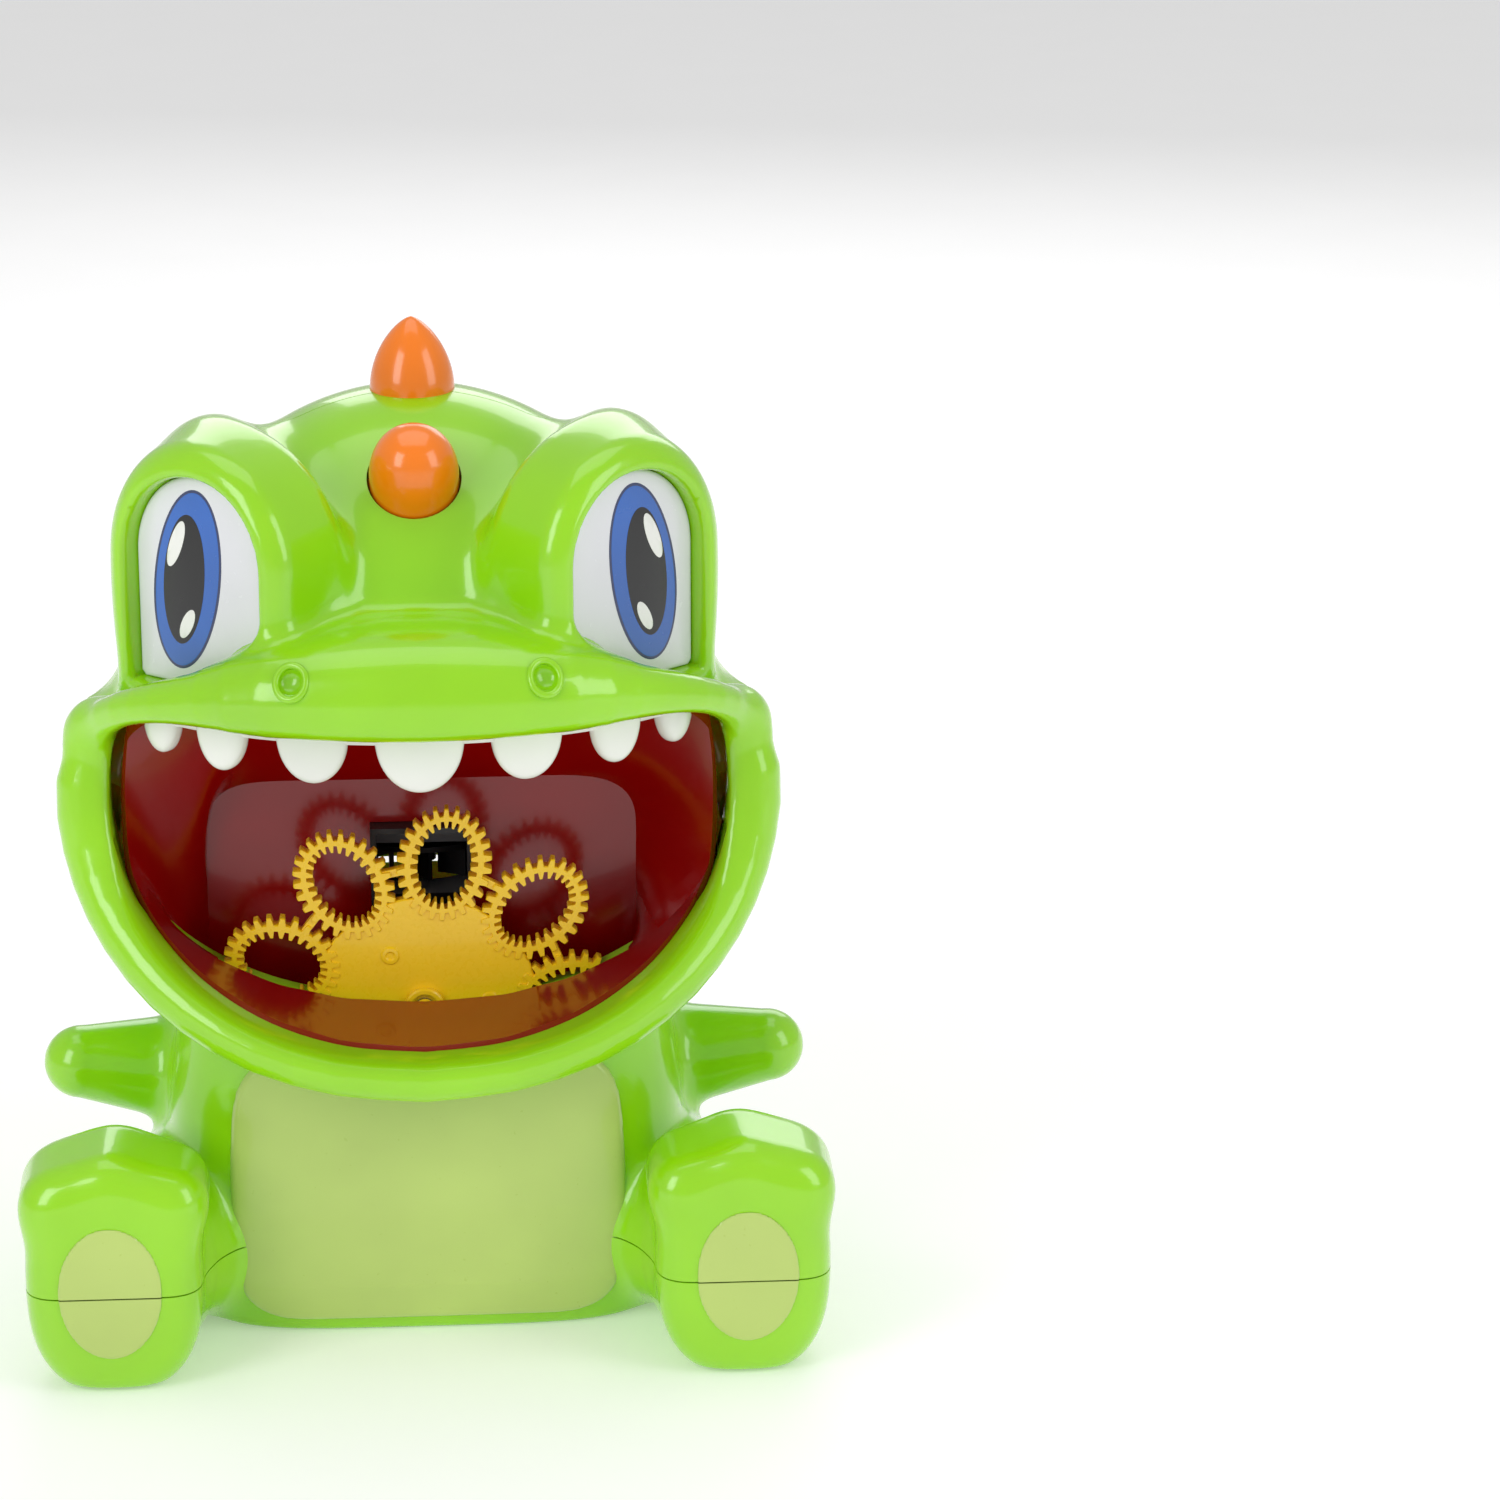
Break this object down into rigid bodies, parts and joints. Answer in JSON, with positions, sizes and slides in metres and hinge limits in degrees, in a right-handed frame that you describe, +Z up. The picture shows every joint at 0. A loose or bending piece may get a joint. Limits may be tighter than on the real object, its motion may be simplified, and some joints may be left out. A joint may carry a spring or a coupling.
{
  "type": "bubble machine",
  "caption": "Sitting cartoon dinosaur bubble machine with an open mouth, a turning loop wheel over a liquid trough, a small blower and a rear battery door.",
  "frame": {"origin": "centre of the bounding box in plan, on the ground the toy sits on", "axes": "+Z up, the face looks along -Y, +X on the right seen from the front"},
  "size_m": [0.1388, 0.1107, 0.1751],
  "materials": {
    "green_shell": "glossy moulded lime green",
    "orange_part": "glossy moulded orange",
    "red_tub": "glossy deep red, slightly see-through",
    "yellow_wheel": "satin moulded yellow",
    "eye_white": "glossy white with printed iris",
    "tooth_white": "glossy white",
    "belly_green": "satin pale yellow green",
    "black_part": "matt black",
    "nylon_gear": "natural nylon",
    "grey_case": "matt grey",
    "steel": "plated steel",
    "motor_steel": "plated steel can",
    "motor_cap": "white plastic",
    "cell_wrap": "plain printed sleeve",
    "contact_metal": "nickel plated spring steel",
    "board_green": "solder mask",
    "chip_black": "epoxy",
    "seal_rubber": "soft black",
    "speaker_black": "steel basket with paper cone"
  },
  "bodies": {
    "base": {"front_casing": "green_shell", "rear_casing": "green_shell", "mouth_tub": "red_tub", "left_eye": "eye_white", "right_eye": "eye_white", "top_spike": "orange_part", "back_spike": "orange_part", "casing_screws": "steel", "belly_plate": "belly_green", "upper_teeth": "tooth_white", "shaft_seal": "seal_rubber", "second_axle": "steel", "first_axle": "steel", "gearbox_case": "grey_case", "gearbox_lid": "grey_case", "gearbox_screws": "steel", "wheel_motor_can": "motor_steel", "wheel_motor_cap": "motor_cap", "fan_housing": "black_part", "fan_lid": "black_part", "fan_motor_can": "motor_steel", "fan_motor_cap": "motor_cap", "nozzle": "black_part", "battery_box": "black_part", "cell_1": "cell_wrap", "cell_2": "cell_wrap", "cell_3": "cell_wrap", "cell_4": "cell_wrap", "battery_contacts": "contact_metal", "speaker": "speaker_black", "circuit_board": "board_green", "board_parts": "chip_black", "power_board": "board_green", "power_switch": "chip_black", "music_board": "board_green", "music_switch": "chip_black"},
    "wheel": {"loop_wheel": "yellow_wheel", "wheel_shaft": "steel", "wheel_screw": "steel", "output_gear": "nylon_gear"},
    "gear_two": {"second_gear": "nylon_gear"},
    "gear_one": {"first_gear": "nylon_gear"},
    "wheel_rotor": {"motor_pinion": "nylon_gear", "wheel_motor_shaft": "steel"},
    "fan": {"fan_impeller": "nylon_gear", "fan_motor_shaft": "steel"},
    "power_key": {"power_button": "orange_part"},
    "music_key": {"music_button": "orange_part"},
    "door": {"battery_door": "green_shell", "door_spike": "orange_part", "door_screw": "steel"}
  },
  "joints": [
    {"name": "wheel_spin", "type": "hinge", "parent": "base", "child": "wheel", "pos_m": [0, 0.004, 0.057], "axis": [0, 1, 0], "continuous": true},
    {"name": "gear_two_spin", "type": "hinge", "parent": "base", "child": "gear_two", "pos_m": [0, 0.004, 0.0414], "axis": [0, 1, 0], "continuous": true},
    {"name": "gear_one_spin", "type": "hinge", "parent": "base", "child": "gear_one", "pos_m": [0.0132, 0.004, 0.0414], "axis": [0, 1, 0], "continuous": true},
    {"name": "wheel_motor_spin", "type": "hinge", "parent": "base", "child": "wheel_rotor", "pos_m": [0.0132, 0.004, 0.0282], "axis": [0, 1, 0], "continuous": true},
    {"name": "fan_spin", "type": "hinge", "parent": "base", "child": "fan", "pos_m": [0, 0.0185, 0.075], "axis": [0, 0, 1], "continuous": true},
    {"name": "power_press", "type": "slide", "parent": "base", "child": "power_key", "axis": [0, 0.515, -0.8572], "range_m": [0, 0.0015], "stiffness_N_per_m": 400, "springref_m": -0.001},
    {"name": "music_press", "type": "slide", "parent": "base", "child": "music_key", "axis": [0, -1, 0], "range_m": [0, 0.0015], "stiffness_N_per_m": 400, "springref_m": -0.001},
    {"name": "door_lift", "type": "slide", "parent": "base", "child": "door", "axis": [0, 1, 0], "range_m": [0, 0.04]}
  ],
  "couplings": [
    {"joint": "gear_two_spin", "follows": "wheel_spin", "ratio": -3.3333},
    {"joint": "gear_one_spin", "follows": "wheel_spin", "ratio": 8.8889},
    {"joint": "wheel_motor_spin", "follows": "wheel_spin", "ratio": -23.704}
  ]
}
